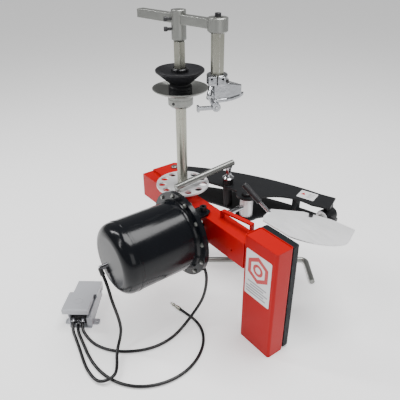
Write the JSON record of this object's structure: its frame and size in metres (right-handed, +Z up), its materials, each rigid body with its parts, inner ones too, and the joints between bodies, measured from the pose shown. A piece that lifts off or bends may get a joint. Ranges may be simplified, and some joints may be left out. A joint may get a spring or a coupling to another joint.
{
  "type": "tyre changer",
  "caption": "Pneumatic tyre changer: red beam frame with wheel post, disc and clamp cone, swinging tool arm, side cylinder with bead-breaker arm, foot pedal and air hoses.",
  "frame": {"origin": "centre of the index disc's top face, on the axis of the wheel post", "axes": "+X along the beam towards the wheel-support box, +Y back towards the bead-breaker arm, +Z up along the wheel post"},
  "size_m": [0.8213, 1.0217, 1.052],
  "materials": {
    "red_paint": "gloss",
    "gloss_black": "gloss",
    "satin_black": "satin",
    "zinc": "satin",
    "passivated": "satin",
    "chrome": "polished",
    "steel": "satin",
    "dark_steel": "satin",
    "silver": "satin",
    "black_plastic": "matte",
    "rubber": "matte",
    "hose": "satin",
    "pedal_alloy": "matte"
  },
  "bodies": {
    "frame": {"main_beam": "red_paint", "support_box": "red_paint", "closing_plates": "red_paint", "rubber_pad": "rubber", "pivot_brackets": "red_paint", "pivot_bolts": "zinc", "carry_handle": "red_paint", "post_bearing": "red_paint", "stand_leg": "red_paint", "foot_bar": "zinc", "pedal_housing": "pedal_alloy", "pedal_pin": "steel", "pedal_ports": "chrome", "rear_hose": "hose", "front_hose": "hose", "supply_hose": "hose", "air_plug": "zinc"},
    "turning_post": {"index_disc": "zinc", "post": "passivated", "retaining_nut": "zinc", "hex_spindle": "passivated", "wheel_collar": "zinc", "wheel_saucer": "zinc", "centring_core": "black_plastic"},
    "cone": {"clamp_cone": "black_plastic"},
    "cone_nut": {"clamp_nut": "dark_steel"},
    "tool_arm": {"tool_sleeve": "zinc"},
    "bar_lock": {"bar_lock_bolt": "black_plastic"},
    "sleeve_lock": {"sleeve_lock_bolt": "black_plastic"},
    "cross_slide": {"cross_bar": "zinc", "shaft_collar": "zinc", "hex_shaft": "passivated", "arm_screws": "dark_steel", "mount_head": "chrome", "finger_pin": "chrome"},
    "finger": {"head_finger": "chrome"},
    "cylinder": {"cylinder_barrel": "gloss_black", "cylinder_head": "gloss_black", "flange_bolts": "zinc", "swivel_lugs": "gloss_black", "hose_elbows": "chrome"},
    "piston_rod": {"piston": "steel", "piston_seal": "rubber", "piston_rod": "chrome", "rod_end_bush": "steel"},
    "breaker_arm": {"arm_upper_plate": "satin_black", "arm_lower_plate": "satin_black", "arm_pivot_bush": "steel", "arm_spacers": "satin_black", "rod_pivot_bolt": "satin_black", "blade_sleeve": "satin_black", "blade_lock_screws": "black_plastic", "lever_stud": "chrome"},
    "lever": {"lever_bar": "zinc"},
    "blade": {"blade_plate": "silver", "blade_stem": "steel", "blade_bolt": "dark_steel", "blade_handle_rod": "chrome", "blade_grip": "black_plastic"},
    "treadle": {"pedal_treadle": "pedal_alloy"}
  },
  "joints": [
    {"name": "post_turn", "type": "hinge", "parent": "frame", "child": "turning_post", "pos_m": [0, 0, 0], "axis": [0, 0, 1], "continuous": true},
    {"name": "cone_lift", "type": "slide", "parent": "turning_post", "child": "cone", "axis": [0, 0, 1], "range_m": [0, 0.065]},
    {"name": "nut_turn", "type": "hinge", "parent": "cone", "child": "cone_nut", "pos_m": [0, 0, 0.423], "axis": [0, 0, 1], "continuous": true},
    {"name": "tool_arm_turn", "type": "hinge", "parent": "turning_post", "child": "tool_arm", "pos_m": [0, 0, 0.556], "axis": [0, 0, 1], "continuous": true},
    {"name": "bar_lock_turn", "type": "hinge", "parent": "tool_arm", "child": "bar_lock", "pos_m": [0, 0, 0.582], "axis": [-0.5225, -0.8526, 0], "continuous": true},
    {"name": "sleeve_lock_turn", "type": "hinge", "parent": "tool_arm", "child": "sleeve_lock", "pos_m": [0, 0, 0.552], "axis": [-0.5225, -0.8526, 0], "continuous": true},
    {"name": "cross_slide_move", "type": "slide", "parent": "tool_arm", "child": "cross_slide", "axis": [0.9833, 0.1822, 0], "range_m": [-0.02, 0.1]},
    {"name": "finger_swing", "type": "hinge", "parent": "cross_slide", "child": "finger", "pos_m": [0.17429, 0.01352, 0.341], "axis": [0.891, -0.454, 0], "range_deg": [-8, 8]},
    {"name": "breaker_swing", "type": "hinge", "parent": "frame", "child": "breaker_arm", "pos_m": [-0.186, 0.088, -0.094], "axis": [0, 0, 1], "range_deg": [-5, 18]},
    {"name": "cylinder_swivel", "type": "hinge", "parent": "frame", "child": "cylinder", "pos_m": [0.16, -0.026, -0.09], "axis": [0, 0, 1], "range_deg": [-2.4, 8.4], "deforming": ["rear_hose", "front_hose"]},
    {"name": "rod_stroke", "type": "slide", "parent": "cylinder", "child": "piston_rod", "axis": [0, 1, 0], "range_m": [-0.03, 0.1065]},
    {"name": "blade_tilt", "type": "hinge", "parent": "breaker_arm", "child": "blade", "pos_m": [0.386, 0.3, -0.095], "axis": [0, 1, 0], "range_deg": [-6, 10]},
    {"name": "lever_swing", "type": "hinge", "parent": "breaker_arm", "child": "lever", "pos_m": [0.05, 0.181, 0.036], "axis": [0, 0, 1], "range_deg": [0, 40]},
    {"name": "treadle_press", "type": "hinge", "parent": "frame", "child": "treadle", "pos_m": [-0.11164, -0.37601, -0.4], "axis": [0.6225, 0.7826, 0], "range_deg": [0, 5], "stiffness_Nm_per_rad": 10, "springref_deg": -3.44}
  ],
  "couplings": [
    {"joint": "cylinder_swivel", "follows": "breaker_swing", "ratio": 0.457},
    {"joint": "rod_stroke", "follows": "breaker_swing", "m_per_rad": 0.337}
  ]
}
